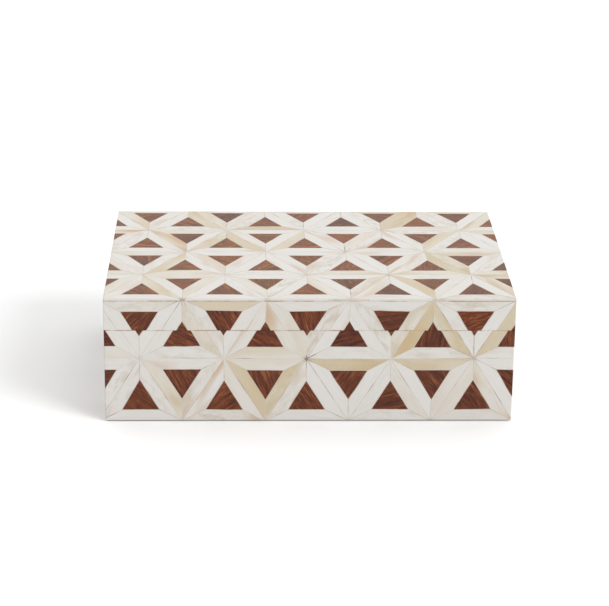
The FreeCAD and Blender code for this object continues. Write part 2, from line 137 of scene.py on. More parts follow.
cell_width = 62.2 * mm
top_pitch = 52.6 * mm
triangle_side = 28.2 * mm
strip_width = 9.2 * mm
joint_width = 0.3 * mm
saw_kerf = 4.4 * mm
edge_ease = 0.8 * mm
resin_sunk = 0.03 * mm
arris = 0.05 * mm
arris_angle = math.radians(50)
sheet_overlap = 1 * mm
sheet_overhang = 0.5 * mm
seam_swell = 0.16 * mm
wander = 3.0 * mm
wander_length = 60 * mm
smallest_cut = 0.98
smallest_chip = 0.1 * mm
largest_chip = 0.5 * mm
# Widths of the full and the fading part of the painted shade along the saw cut and of the darker line below
# the top's edge.
darkened_core = 0.25 * mm
darkened_reach = 0.6 * mm
piece_shift = 517.0
first_seed = 4

top_low, top_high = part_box("lid_top_filler")
box_width = top_high.x - top_low.x
box_depth = top_high.y - top_low.y
box_top = top_high.z
skin = top_high.z - top_low.z
veneer_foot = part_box("base_front_filler")[0].z
base_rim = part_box("base_front_filler")[1].z
lid_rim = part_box("lid_front_filler")[0].z
seam = (base_rim + lid_rim) / 2
side_pitch = (box_top - veneer_foot - (lid_rim - base_rim) + saw_kerf) / 2
leaf_low, leaf_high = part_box("hinge_right_base_leaf")
leaf_thickness = 1.6 * mm


def named_inputs(tree, inputs):
    """Gives a tree its named inputs and one geometry output; returns the inputs' sockets by name."""
    for name, kind in inputs.items():
        tree.interface.new_socket(name=name, in_out="INPUT", socket_type=f"NodeSocket{kind}")
    tree.interface.new_socket(name="Geometry", in_out="OUTPUT", socket_type="NodeSocketGeometry")
    return tree.nodes.new("NodeGroupInput").outputs


def grow(name, tree, values):
    """The plain mesh object that a tree makes from these values of its named inputs."""
    made = bpy.data.objects.new(name, bpy.data.meshes.new(name))
    bpy.context.scene.collection.objects.link(made)
    modifier = made.modifiers.new("grown", "NODES")
    modifier.node_group = tree
    for item in tree.interface.items_tree:
        if item.in_out == "INPUT":
            modifier[item.identifier] = values[item.name]
    evaluated = made.evaluated_get(bpy.context.evaluated_depsgraph_get())
    finished = bpy.data.meshes.new_from_object(evaluated)
    made.modifiers.remove(modifier)
    made.data = finished
    finished.name = name
    return made


def eased_block(tree, given, sunk):
    """The closed box with its edges rounded over, sunk below the surface by a distance."""
    radius = node(tree, "ShaderNodeMath", {0: given["Edge Ease"], 1: sunk}, operation="SUBTRACT")
    around = node(tree, "ShaderNodeMath", {0: given["Edge Ease"], 1: 2.0}, operation="MULTIPLY")
    spread = node(
        tree, "ShaderNodeVectorMath", {0: given["Block Size"], 1: around}, operation="SUBTRACT"
    )
    corners = node(tree, "GeometryNodeMeshCube", {"Size": spread})
    ball = node(tree, "GeometryNodeMeshUVSphere", {"Segments": 24, "Rings": 12, "Radius": radius})
    balls = node(tree, "GeometryNodeInstanceOnPoints", {"Points": corners, "Instance": ball})
    solid = node(tree, "GeometryNodeRealizeInstances", {"Geometry": balls})
    wrapped = node(tree, "GeometryNodeConvexHull", {"Geometry": solid})
    return node(
        tree, "GeometryNodeTransform", {"Geometry": wrapped, "Translation": given["Block Centre"]}
    )


def hinge_mortises(tree, given):
    """Two shallow mortises through the skin at the seam, one for each hinge's leaves."""
    bite = node(tree, "GeometryNodeMeshCube", {"Size": given["Mortise Size"]})
    both = []
    for side in (-1.0, 1.0):
        flip = node(
            tree,
            "ShaderNodeVectorMath",
            {0: given["Mortise Centre"], 1: (side, 1.0, 1.0)},
            operation="MULTIPLY",
        )
        both.append(node(tree, "GeometryNodeTransform", {"Geometry": bite, "Translation": flip}))
    return both


def window(tree, given):
    """The block of space that one face's skin takes up."""
    block = node(tree, "GeometryNodeMeshCube", {"Size": given["Window Size"]})
    return node(
        tree, "GeometryNodeTransform", {"Geometry": block, "Translation": given["Window Centre"]}
    )


def boolean(tree, operation, blocks, first=None):
    """Solid with solid, by the solver that keeps each face's numbers."""
    made = node(tree, "GeometryNodeMeshBoolean", operation=operation, solver="MANIFOLD")
    if first is not None:
        tree.links.new(first.outputs[0], made.inputs["Mesh 1"])
    for block in blocks:
        tree.links.new(block.outputs[0], made.inputs["Mesh 2"])
    return made


block_inputs = {
    "Block Size": "Vector",
    "Block Centre": "Vector",
    "Edge Ease": "Float",
    "Window Size": "Vector",
    "Window Centre": "Vector",
    "Mortise Size": "Vector",
    "Mortise Centre": "Vector",
    "Material": "Material",
}


def resin_bed_tree():
    """The resin of one face: a slab that stands a hair below the pieces it is grouted round."""
    tree = bpy.data.node_groups.new("resin bed", "GeometryNodeTree")
    given = named_inputs(tree, {"Sunk": "Float", **block_inputs})
    slab = boolean(tree, "INTERSECT", [window(tree, given), eased_block(tree, given, given["Sunk"])])
    let_in = boolean(tree, "DIFFERENCE", hinge_mortises(tree, given), first=slab)
    real = node(tree, "GeometryNodeRealizeInstances", {"Geometry": let_in})
    done = node(tree, "GeometryNodeSetMaterial", {"Geometry": real, "Material": given["Material"]})
    node(tree, "NodeGroupOutput", {0: done})
    return tree


def inlay_tree():
    """The bone strips, or the wood triangles, of one face. They are laid flat on a lattice of
    triangular cells, knocked a little out of true, stood on the face and sanded to it."""
    tree = bpy.data.node_groups.new("triangle inlay", "GeometryNodeTree")
    given = named_inputs(
        tree,
        {
            "Wood": "Bool",
            "Cell Width": "Float",
            "Row Pitch": "Float",
            "Triangle Side": "Float",
            "Strip Width": "Float",
            "Joint": "Float",
            "Stock Thickness": "Float",
            "Columns": "Int",
            "Rows": "Int",
            "First Column": "Int",
            "Wander": "Float",
            "Wander Length": "Float",
            "Face Origin": "Vector",
            "Face Turn": "Rotation",
            "Seed": "Int",
            **block_inputs,
        },
    )
    cell, pitch, side = given["Cell Width"], given["Row Pitch"], given["Triangle Side"]
    strip, joint, thick = given["Strip Width"], given["Joint"], given["Stock Thickness"]

    def figure(operation, *terms):
        return node(tree, "ShaderNodeMath", dict(enumerate(terms)), operation=operation)

    def vector(x=0.0, y=0.0, z=0.0):
        return node(tree, "ShaderNodeCombineXYZ", {0: x, 1: y, 2: z})

    def between(amount, start, end):
        mixed = node(tree, "ShaderNodeMix", {0: amount, 4: start, 5: end}, data_type="VECTOR")
        return mixed.outputs[1]

    # One standing cell about the middle of its height. The wood triangle is equilateral and stands
    # a strip's width off the base; three mitred strips fill the cell round it.
    foot = figure("MULTIPLY_ADD", pitch, -0.5, strip)
    peak = figure("MULTIPLY_ADD", side, math.sqrt(3) / 2, foot)
    half_cell, half_side = figure("MULTIPLY", cell, 0.5), figure("MULTIPLY", side, 0.5)
    bottom = figure("MULTIPLY", pitch, -0.5)
    outer = [
        vector(figure("MULTIPLY", cell, -0.5), bottom),
        vector(half_cell, bottom),
        vector(0.0, figure("MULTIPLY", pitch, 0.5)),
    ]
    inner = [vector(figure("MULTIPLY", side, -0.5), foot), vector(half_side, foot), vector(0.0, peak)]
    short = figure("MULTIPLY_ADD", figure("DIVIDE", joint, cell), -2.5, 1.0)
    narrow = figure("MULTIPLY_ADD", figure("DIVIDE", joint, strip), -1.0, 1.0)
    blank = node(tree, "GeometryNodeMeshCube", {"Size": vector(short, narrow, thick)})
    here = node(tree, "ShaderNodeSeparateXYZ", {0: node(tree, "GeometryNodeInputPosition")})
    along = figure("ADD", here.outputs[0], 0.5)
    across = figure("ADD", here.outputs[1], 0.5)
    height = vector(z=here.outputs[2])
    three_strips = node(tree, "GeometryNodeJoinGeometry")
    for number in range(3):
        following = (number + 1) % 3
        outside = between(along, outer[number], outer[following])
        inside = between(along, inner[number], inner[following])
        flat = between(across, outside, inside)
        mitred = node(
            tree,
            "GeometryNodeSetPosition",
            {"Geometry": blank, "Position": node(tree, "ShaderNodeVectorMath", {0: flat, 1: height})},
        )
        numbered = node(
            tree,
            "GeometryNodeStoreNamedAttribute",
            {"Geometry": mitred, "Name": "piece", "Value": number + 1},
            data_type="INT",
            domain="FACE",
        )
        tree.links.new(numbered.outputs[0], three_strips.inputs[0])
    radius = figure("SUBTRACT", figure("DIVIDE", side, math.sqrt(3)), joint)
    prism = node(
        tree,
        "GeometryNodeMeshCylinder",
        {"Vertices": 3, "Radius": radius, "Depth": thick},
        fill_type="NGON",
    )
    upright = node(
        tree,
        "GeometryNodeTransform",
        {
            "Geometry": prism,
            "Translation": vector(y=figure("MULTIPLY_ADD", side, 1 / (2 * math.sqrt(3)), foot)),
            "Rotation": Euler((0, 0, math.pi / 2)),
        },
    )
    triangle = node(
        tree,
        "GeometryNodeStoreNamedAttribute",
        {"Geometry": upright, "Name": "piece", "Value": 4},
        data_type="INT",
        domain="FACE",
    )
    stock = node(
        tree,
        "GeometryNodeSwitch",
        {"Switch": given["Wood"], "False": three_strips, "True": triangle},
        input_type="GEOMETRY",
    )

    # The lattice. Each row has standing cells and hanging ones, half a cell apart, and every
    # second row is half a cell along.
    index = node(tree, "GeometryNodeInputIndex")
    hanging = figure("FLOORED_MODULO", index, 2.0)
    pair = figure("FLOOR", figure("DIVIDE", index, 2.0))
    column = figure("ADD", figure("FLOORED_MODULO", pair, given["Columns"]), given["First Column"])
    row = figure("FLOOR", figure("DIVIDE", pair, given["Columns"]))
    half_step = figure("MULTIPLY", figure("FLOORED_MODULO", row, 2.0), 0.5)
    standing_step = figure("MULTIPLY_ADD", hanging, -0.5, 0.5)
    place_along = figure("ADD", column, figure("ADD", half_step, standing_step))
    up = figure("MULTIPLY", figure("ADD", row, 0.5), pitch)
    cells = node(
        tree,
        "GeometryNodePoints",
        {
            "Count": figure("MULTIPLY", figure("MULTIPLY", given["Columns"], given["Rows"]), 2.0),
            "Position": vector(figure("MULTIPLY", place_along, cell), up),
        },
    )
    # Every piece gets a number of its own: four numbers for a cell, eight for a standing cell and
    # its hanging neighbour, and thirty-two such pairs for a row, which can start left of the face.
    along_row = figure("ADD", column, 8.0)
    pair_number = figure("MULTIPLY", figure("MULTIPLY_ADD", row, 32.0, along_row), 8.0)
    cell_number = figure("MULTIPLY_ADD", hanging, 4.0, pair_number)
    numbered_cells = node(
        tree,
        "GeometryNodeStoreNamedAttribute",
        {"Geometry": cells, "Name": "cell", "Value": cell_number},
        data_type="INT",
        domain="POINT",
    )
    laid_out = node(
        tree,
        "GeometryNodeInstanceOnPoints",
        {
            "Points": numbered_cells,
            "Instance": stock,
            "Rotation": node(
                tree, "FunctionNodeEulerToRotation", {0: vector(z=figure("MULTIPLY", hanging, math.pi))}
            ),
        },
    )
    glued = node(tree, "GeometryNodeRealizeInstances", {"Geometry": laid_out})
    piece = node(tree, "GeometryNodeInputNamedAttribute", {"Name": "piece"}, data_type="INT")
    of_cell = node(tree, "GeometryNodeInputNamedAttribute", {"Name": "cell"}, data_type="INT")
    known = node(
        tree,
        "GeometryNodeStoreNamedAttribute",
        {"Geometry": glued, "Name": "piece", "Value": figure("ADD", piece, of_cell)},
        data_type="INT",
        domain="FACE",
    )

    # Knocked out of true: neighbouring corners wander together, and each piece is cut a little
    # small by its own amount.
    place = node(tree, "GeometryNodeInputPosition")
    flat = node(tree, "ShaderNodeVectorMath", {0: place, 1: (1.0, 1.0, 0.0)}, operation="MULTIPLY")
    seeded = node(tree, "ShaderNodeVectorMath", {0: flat, 1: vector(z=given["Seed"])}, operation="ADD")
    drift = node(
        tree,
        "ShaderNodeTexNoise",
        {"Vector": seeded, "Scale": figure("DIVIDE", 1.0, given["Wander Length"]), "Detail": 1.0},
    )
    centred_drift = node(
        tree, "ShaderNodeVectorMath", {0: drift.outputs["Color"], 1: (0.5, 0.5, 0.5)}, operation="SUBTRACT"
    )
    reach = vector(given["Wander"], given["Wander"], 0.0)
    offset = node(tree, "ShaderNodeVectorMath", {0: centred_drift, 1: reach}, operation="MULTIPLY")
    wandered = node(tree, "GeometryNodeSetPosition", {"Geometry": known, "Offset": offset})
    cut_small = node(
        tree,
        "FunctionNodeRandomValue",
        {2: smallest_cut, 3: 1.0, "ID": piece, "Seed": given["Seed"]},
        data_type="FLOAT",
    )
    loose = node(
        tree,
        "GeometryNodeScaleElements",
        {"Geometry": wandered, "Scale": cut_small.outputs[1]},
        domain="FACE",
        scale_mode="UNIFORM",
    )

    # Where the mitres' tips meet, some are broken off short and the resin fills the gap.
    tips = node(
        tree,
        "GeometryNodeSetPosition",
        {"Geometry": cells, "Offset": vector(y=figure("MULTIPLY", pitch, -0.5))},
    )
    wandered_tips = node(tree, "GeometryNodeSetPosition", {"Geometry": tips, "Offset": offset})
    chip = node(
        tree,
        "GeometryNodeMeshCylinder",
        {"Vertices": 7, "Radius": 1.0, "Depth": given["Stock Thickness"]},
        fill_type="NGON",
    )
    chip_size = node(
        tree,
        "FunctionNodeRandomValue",
        {2: smallest_chip, 3: largest_chip, "ID": index, "Seed": given["Seed"]},
        data_type="FLOAT",
    )
    chip_narrow = figure("MULTIPLY", chip_size.outputs[1], 0.7)
    chips = node(
        tree,
        "GeometryNodeInstanceOnPoints",
        {
            "Points": wandered_tips,
            "Selection": figure("GREATER_THAN", hanging, 0.5),
            "Instance": chip,
            "Rotation": node(tree, "FunctionNodeEulerToRotation", {0: vector(z=index)}),
            "Scale": vector(chip_size.outputs[1], chip_narrow, 1.1),
        },
    )
    chipped = boolean(
        tree, "DIFFERENCE", [node(tree, "GeometryNodeRealizeInstances", {"Geometry": chips})], first=loose
    )

    # Stood on its face of the box, trimmed to the face and to the eased edges, and let into at
    # the hinges. Trimming makes new faces, so every piece is told its number again.
    stood = node(
        tree,
        "GeometryNodeTransform",
        {"Geometry": chipped, "Translation": given["Face Origin"], "Rotation": given["Face Turn"]},
    )
    trimmed = boolean(tree, "INTERSECT", [stood, window(tree, given), eased_block(tree, given, 0.0)])
    let_in = boolean(tree, "DIFFERENCE", hinge_mortises(tree, given), first=trimmed)
    island = node(tree, "GeometryNodeInputMeshIsland")
    summed = node(
        tree,
        "GeometryNodeAccumulateField",
        {"Value": piece, "Group ID": island},
        data_type="INT",
        domain="FACE",
    )
    told = node(
        tree,
        "GeometryNodeAccumulateField",
        {"Value": figure("GREATER_THAN", piece, 0.5), "Group ID": island},
        data_type="INT",
        domain="FACE",
    )
    own_number = figure("ROUND", figure("DIVIDE", summed.outputs["Total"], told.outputs["Total"]))
    renumbered = node(
        tree,
        "GeometryNodeStoreNamedAttribute",
        {"Geometry": let_in, "Name": "piece", "Value": own_number},
        data_type="INT",
        domain="FACE",
    )
    tone = node(
        tree,
        "FunctionNodeRandomValue",
        {2: 0.0, 3: 1.0, "ID": piece, "Seed": given["Seed"]},
        data_type="FLOAT",
    )
    toned = node(
        tree,
        "GeometryNodeStoreNamedAttribute",
        {"Geometry": renumbered, "Name": "tone", "Value": tone.outputs[1]},
        data_type="FLOAT",
        domain="FACE",
    )

    # The grain runs along a strip, and any way at all in a triangle.
    strip_of_cell = figure("FLOORED_MODULO", figure("SUBTRACT", piece, 1.0), 4.0)
    strip_turn = figure("MULTIPLY", strip_of_cell, math.tau / 3)
    skew = node(
        tree,
        "FunctionNodeRandomValue",
        {2: -0.05, 3: 0.05, "ID": piece, "Seed": figure("ADD", given["Seed"], 7.0)},
        data_type="FLOAT",
    )
    freedom = figure("MULTIPLY_ADD", given["Wood"], 30.0, 1.0)
    grain_turn = figure("MULTIPLY_ADD", skew.outputs[1], freedom, strip_turn)
    flat_grain = vector(figure("COSINE", grain_turn), figure("SINE", grain_turn))
    grain = node(
        tree, "FunctionNodeRotateVector", {"Vector": flat_grain, "Rotation": given["Face Turn"]}
    )
    grained = node(
        tree,
        "GeometryNodeStoreNamedAttribute",
        {"Geometry": toned, "Name": "grain", "Value": grain},
        data_type="FLOAT_VECTOR",
        domain="FACE",
    )
    real = node(tree, "GeometryNodeRealizeInstances", {"Geometry": grained})
    done = node(tree, "GeometryNodeSetMaterial", {"Geometry": real, "Material": given["Material"]})
    node(tree, "NodeGroupOutput", {0: done})
    return tree


def grain_space(tree, fine, long):
    """Coordinates in which one unit is the width of a streak across the grain and its length
    along it, shifted by each piece's own tone so that no two pieces match."""
    place = node(tree, "ShaderNodeTexCoord").outputs["Object"]
    grain = node(tree, "ShaderNodeAttribute", attribute_name="grain").outputs["Vector"]
    tone = node(tree, "ShaderNodeAttribute", attribute_name="tone").outputs["Fac"]
    reach = node(tree, "ShaderNodeVectorMath", {0: place, 1: grain}, operation="DOT_PRODUCT")
    shrink = node(
        tree,
        "ShaderNodeMath",
        {0: reach.outputs["Value"], 1: 1 / long - 1 / fine},
        operation="MULTIPLY",
    )
    pull = node(tree, "ShaderNodeVectorMath", {0: grain, "Scale": shrink}, operation="SCALE")
    across = node(tree, "ShaderNodeVectorMath", {0: place, "Scale": 1 / fine}, operation="SCALE")
    stretched = node(tree, "ShaderNodeVectorMath", {0: across, 1: pull}, operation="ADD")
    apart = node(tree, "ShaderNodeMath", {0: tone, 1: piece_shift}, operation="MULTIPLY")
    return node(tree, "ShaderNodeVectorMath", {0: stretched, 1: apart}, operation="ADD")


def other_chance(tree, tone, factor):
    """One more number from 0 to 1 for each piece, unlike its tone."""
    spread = node(tree, "ShaderNodeMath", {0: tone, 1: factor}, operation="MULTIPLY")
    return node(tree, "ShaderNodeMath", {0: spread}, operation="FRACT")


def seam_shade_and_edge_darkening(tree, place):
    """How dark to paint beside the saw cut and along the line a skin's thickness below the top: painted
    shade of the narrowed gap at the saw cut, and a darker line below the top's edge; full at the line, gone
    within a millimetre, and broken up along it."""
    height = node(tree, "ShaderNodeSeparateXYZ", {0: place}).outputs["Z"]
    off_seam = node(tree, "ShaderNodeMath", {0: height, 1: -seam}, operation="ADD")
    off_edge = node(tree, "ShaderNodeMath", {0: height, 1: skin - box_top}, operation="ADD")
    lines = [
        node(tree, "ShaderNodeMath", {0: offset}, operation="ABSOLUTE") for offset in (off_seam, off_edge)
    ]
    nearest = node(tree, "ShaderNodeMath", {0: lines[0], 1: lines[1]}, operation="MINIMUM")
    near = node(
        tree,
        "ShaderNodeMapRange",
        {"Value": nearest, "From Min": darkened_core, "From Max": darkened_reach, "To Min": 0.9, "To Max": 0.0},
    )
    broken = node(tree, "ShaderNodeTexNoise", {"Vector": place, "Scale": 1 / (9 * mm), "Detail": 4.0})
    kept = node(
        tree, "ShaderNodeMapRange", {"Value": broken, "From Min": 0.4, "From Max": 0.68, "To Min": 0.1}
    )
    return node(tree, "ShaderNodeMath", {0: near, 1: kept}, operation="MULTIPLY")


def polished_bone():
    """Camel bone, bleached and buffed: most strips a plain cool white, a few clouded with cream or
    honey to one side, a few marbled with grey-brown specks. It shines like old piano keys."""
    made, tree, shader = new_material("polished camel bone", roughness=0.36, ior=1.54)
    place = node(tree, "ShaderNodeTexCoord").outputs["Object"]
    tone = node(tree, "ShaderNodeAttribute", attribute_name="tone").outputs["Fac"]
    base = node(
        tree,
        "ShaderNodeValToRGB",
        {"Fac": tone},
        stops=[(0.0, "#d4d1cd"), (0.62, "#d2cec8"), (0.82, "#cfc9bd"), (0.94, "#cac1ae"), (1.0, "#c2b193")],
    )

    def blend(amount, under, over):
        mixed = node(tree, "ShaderNodeMix", {0: amount, 6: under, 7: linear(over)}, data_type="RGBA")
        return mixed.outputs[2]

    def picked(chance, strength):
        """Nothing on most strips; on the rest, more as the strip's chance is higher."""
        return node(
            tree,
            "ShaderNodeMapRange",
            {"Value": chance, "From Min": 0.55, "From Max": 0.95, "To Max": strength},
        )

    # Cream over half of a strip, then honey in the middle of the cream.
    cloud_space = grain_space(tree, fine=13 * mm, long=42 * mm)
    cloud = node(
        tree, "ShaderNodeTexNoise", {"Vector": cloud_space, "Scale": 1.0, "Detail": 1.0, "Roughness": 0.35}
    )
    creamy = node(tree, "ShaderNodeMapRange", {"Value": cloud, "From Min": 0.4, "From Max": 0.62})
    cream = node(tree, "ShaderNodeMath", {0: creamy, 1: picked(tone, 1.0)}, operation="MULTIPLY")
    creamed = blend(cream, base, "#c2b190")
    deep = node(tree, "ShaderNodeMapRange", {"Value": cloud, "From Min": 0.52, "From Max": 0.74})
    honey_chance = picked(other_chance(tree, tone, 17.0), 0.75)
    honey = node(tree, "ShaderNodeMath", {0: deep, 1: honey_chance}, operation="MULTIPLY")
    honeyed = blend(honey, creamed, "#b88f61")

    # Marbling: small clouds a little crosswise, cooler and darker.
    marble_space = grain_space(tree, fine=4.5 * mm, long=9 * mm)
    marble = node(
        tree,
        "ShaderNodeTexNoise",
        {"Vector": marble_space, "Scale": 1.0, "Detail": 3.0, "Roughness": 0.5, "Distortion": 0.5},
    )
    veined = node(tree, "ShaderNodeMapRange", {"Value": marble, "From Min": 0.45, "From Max": 0.75})
    marble_chance = picked(other_chance(tree, tone, 31.0), 0.65)
    marbled = node(tree, "ShaderNodeMath", {0: veined, 1: marble_chance}, operation="MULTIPLY")
    figured = blend(marbled, honeyed, "#afa28c")
    fibre_space = grain_space(tree, fine=0.9 * mm, long=14 * mm)
    fibre = node(tree, "ShaderNodeTexNoise", {"Vector": fibre_space, "Scale": 1.0, "Detail": 3.0})
    streak = node(
        tree, "ShaderNodeMapRange", {"Value": fibre, "From Min": 0.5, "From Max": 0.8, "To Max": 0.18}
    )
    streaked = blend(streak, figured, "#a8967c")
    pore_space = grain_space(tree, fine=0.3 * mm, long=1.6 * mm)
    pore = node(tree, "ShaderNodeTexNoise", {"Vector": pore_space, "Scale": 1.0, "Detail": 1.0})
    pored = node(
        tree, "ShaderNodeMapRange", {"Value": pore, "From Min": 0.72, "From Max": 0.78, "To Max": 0.5}
    )
    specked = blend(pored, streaked, "#8f7a5c")
    # Painted shade along the saw cut, and a darker line below the top's edge.
    seam_and_edge_darkened = blend(seam_shade_and_edge_darkening(tree, place), specked, "#a5805c")
    tree.links.new(seam_and_edge_darkened, shader.inputs["Base Color"])
    gloss = node(tree, "ShaderNodeMapRange", {"Value": fibre, "To Min": 0.28, "To Max": 0.46})
    tree.links.new(gloss.outputs[0], shader.inputs["Roughness"])
    relief = node(tree, "ShaderNodeBump", {"Height": pored, "Strength": 0.4, "Distance": -0.05 * mm})
    scraped = node(
        tree,
        "ShaderNodeBump",
        {"Height": fibre, "Strength": 0.15, "Distance": 0.04 * mm, "Normal": relief},
    )
    tree.links.new(scraped.outputs["Normal"], shader.inputs["Normal"])
    return made


def waxed_sheesham(name, top_sheen):
    """Sheesham, sanded and waxed: red-brown, some triangles plain and some boldly figured, full of short
    open pores, with bone dust rubbed into a few of them. The top's copy is painted lighter and more tawny,
    as painted sheen on the top face."""
    made, tree, shader = new_material(name, roughness=0.42, ior=1.34)
    place = node(tree, "ShaderNodeTexCoord").outputs["Object"]
    tone = node(tree, "ShaderNodeAttribute", attribute_name="tone").outputs["Fac"]
    broad_space = grain_space(tree, fine=2.6 * mm, long=34 * mm)
    broad = node(
        tree,
        "ShaderNodeTexNoise",
        {"Vector": broad_space, "Scale": 1.0, "Detail": 4.0, "Roughness": 0.6, "Distortion": 0.5},
    )
    fine_space = grain_space(tree, fine=0.6 * mm, long=8 * mm)
    fine = node(
        tree, "ShaderNodeTexNoise", {"Vector": fine_space, "Scale": 1.0, "Detail": 4.0, "Roughness": 0.6}
    )
    boldness = node(tree, "ShaderNodeMapRange", {"Value": tone, "To Min": 0.2, "To Max": 0.7})
    figured = node(tree, "ShaderNodeMix", {0: boldness, 2: fine, 3: broad})
    colour = node(
        tree,
        "ShaderNodeValToRGB",
        {"Fac": figured},
        stops=[(0.3, "#2a1109"), (0.42, "#522615"), (0.53, "#723b21"), (0.68, "#ab6f40")],
    )
    shade = node(
        tree,
        "ShaderNodeValToRGB",
        {"Fac": other_chance(tree, tone, 13.0)},
        stops=[(0.0, "#b58d7c"), (0.5, "#f0e9e2"), (1.0, "#ffe6c6")],
    )
    toned = node(
        tree, "ShaderNodeMix", {0: 0.8, 6: colour, 7: shade}, data_type="RGBA", blend_type="MULTIPLY"
    )
    pore_space = grain_space(tree, fine=0.26 * mm, long=2.6 * mm)
    pore = node(tree, "ShaderNodeTexNoise", {"Vector": pore_space, "Scale": 1.0, "Detail": 2.0})
    pored = node(tree, "ShaderNodeMapRange", {"Value": pore, "From Min": 0.56, "From Max": 0.68})
    dark = node(tree, "ShaderNodeMath", {0: pored, 1: 0.75}, operation="MULTIPLY")
    coloured = node(
        tree, "ShaderNodeMix", {0: dark, 6: toned.outputs[2], 7: linear("#2a120a")}, data_type="RGBA"
    )
    dust = node(
        tree, "ShaderNodeMapRange", {"Value": pore, "From Min": 0.26, "From Max": 0.18, "To Max": 0.5}
    )
    dusted = node(
        tree, "ShaderNodeMix", {0: dust, 6: coloured.outputs[2], 7: linear("#c9a98c")}, data_type="RGBA"
    )
    # Painted shade along the saw cut, and a darker line below the top's edge.
    seam_and_edge_darkened = node(
        tree,
        "ShaderNodeMix",
        {0: seam_shade_and_edge_darkening(tree, place), 6: dusted.outputs[2], 7: linear("#44200f")},
        data_type="RGBA",
    )
    # Painted sheen: the top's copy of the wood is painted lighter, warmer and a little more saturated,
    # standing in for the light the top face catches.
    painted_sheen = node(
        tree,
        "ShaderNodeHueSaturation",
        {
            "Color": seam_and_edge_darkened.outputs[2],
            "Hue": 0.5 + 0.014 * top_sheen,
            "Saturation": 1 + 0.1 * top_sheen,
            "Value": 0.97 + 0.31 * top_sheen,
        },
    )
    tree.links.new(painted_sheen.outputs[0], shader.inputs["Base Color"])
    gloss = node(tree, "ShaderNodeMapRange", {"Value": pored, "To Min": 0.36, "To Max": 0.6})
    tree.links.new(gloss.outputs[0], shader.inputs["Roughness"])
    relief = node(tree, "ShaderNodeBump", {"Height": pored, "Strength": 0.5, "Distance": -0.06 * mm})
    tree.links.new(relief.outputs["Normal"], shader.inputs["Normal"])
    return made


def tinted_resin():
    """Polyester filler tinted with bone dust: dull and speckled, nearly the bone's own colour, but brown
    where sawdust or dirt got into it. Along the saw cut it is darkened as painted shade, and along a line
    below the top's edge it is darker."""
    made, tree, shader = new_material("tinted resin", roughness=0.62)
    place = node(tree, "ShaderNodeTexCoord").outputs["Object"]
    patch = node(tree, "ShaderNodeTexNoise", {"Vector": place, "Scale": 1 / (16 * mm), "Detail": 5.0})
    colour = node(
        tree,
        "ShaderNodeValToRGB",
        {"Fac": patch},
        stops=[(0.33, "#85705f"), (0.4, "#a8988a"), (0.48, "#c2b9ad"), (0.7, "#cec8c0")],
    )
    # Painted shade along the saw cut, and a darker line below the top's edge.
    seam_and_edge_darkened = node(
        tree,
        "ShaderNodeMix",
        {0: seam_shade_and_edge_darkening(tree, place), 6: colour, 7: linear("#8a6040")},
        data_type="RGBA",
    )
    tree.links.new(seam_and_edge_darkened.outputs[2], shader.inputs["Base Color"])
    grit = node(tree, "ShaderNodeTexNoise", {"Vector": place, "Scale": 1 / (0.2 * mm)})
    relief = node(tree, "ShaderNodeBump", {"Height": grit, "Strength": 0.4, "Distance": 0.03 * mm})
    tree.links.new(relief.outputs["Normal"], shader.inputs["Normal"])
    return made


bone, resin = polished_bone(), tinted_resin()
# The sides' wood, and a copy for the top that is painted lighter as painted sheen.
sheesham = waxed_sheesham("waxed sheesham", top_sheen=0.0)
sheesham_with_painted_sheen = waxed_sheesham("waxed sheesham, faded", top_sheen=1.0)
resin_bed, triangle_inlay = resin_bed_tree(), inlay_tree()

block_low = Vector((top_low.x, top_low.y, veneer_foot))
block_high = Vector(top_high)
block = {
    "Block Size": block_high - block_low,
    "Block Centre": (block_low + block_high) / 2,
    "Edge Ease": edge_ease,
    "Mortise Size": Vector(
        (leaf_high.x - leaf_low.x, 4 * skin, 2 * leaf_thickness + lid_rim - base_rim)
    ),
    "Mortise Centre": Vector(((leaf_low.x + leaf_high.x) / 2, top_high.y, seam)),
}


def skin_window(filler, inset, sunk=0.0):
    """The space of one face's skin. It runs out past the block's own faces, which trim it, swells
    a hair into the saw cut, less what it is sunk, and is inset where it meets another skin."""
    low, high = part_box(filler)
    for axis in range(3):
        for corner, limit, outwards in ((low, block_low, -1), (high, block_high, 1)):
            at_saw = axis == 2 and min(abs(corner.z - base_rim), abs(corner.z - lid_rim)) < 0.01 * mm
            if abs(corner[axis] - limit[axis]) < 0.01 * mm:
                corner[axis] += outwards * sheet_overlap
            elif at_saw:
                corner[axis] += outwards * (seam_swell - sunk)
            else:
                corner[axis] -= outwards * inset
    return {"Window Size": high - low, "Window Centre": (low + high) / 2}


# A cell stands on the middle of the front's lowest line; every face starts as far from its corner.
# The maker's sheets hang a little over the edge they start from, and each has slipped sideways.
# A face has a first column and a number of columns, some of them spare, to cover it to both ends.
half_width, half_depth = box_width / 2, box_depth / 2
first_node = (half_width - cell_width / 2) % cell_width - cell_width
cells_across, cells_deep = math.ceil(box_width / cell_width), math.ceil(box_depth / cell_width)
left, right, front, back = -half_width, half_width, -half_depth, half_depth
rightwards, backwards, to_the_front = (
    (-1, cells_across + 3),
    (-1, cells_deep + 3),
    (-cells_deep - 2, cells_deep + 3),
)
faces = {
    "top": ((left, front, box_top), (0, 0, 0), rightwards, -0.9 * mm),
    "front": ((left, front, veneer_foot), (90, 0, 0), rightwards, -1.8 * mm),
    "back": ((right, back, veneer_foot), (90, 0, 180), rightwards, 1.1 * mm),
    "left": ((left, front, veneer_foot), (90, 0, -90), to_the_front, 0.8 * mm),
    "right": ((right, front, veneer_foot), (90, 0, 90), backwards, -0.6 * mm),
}
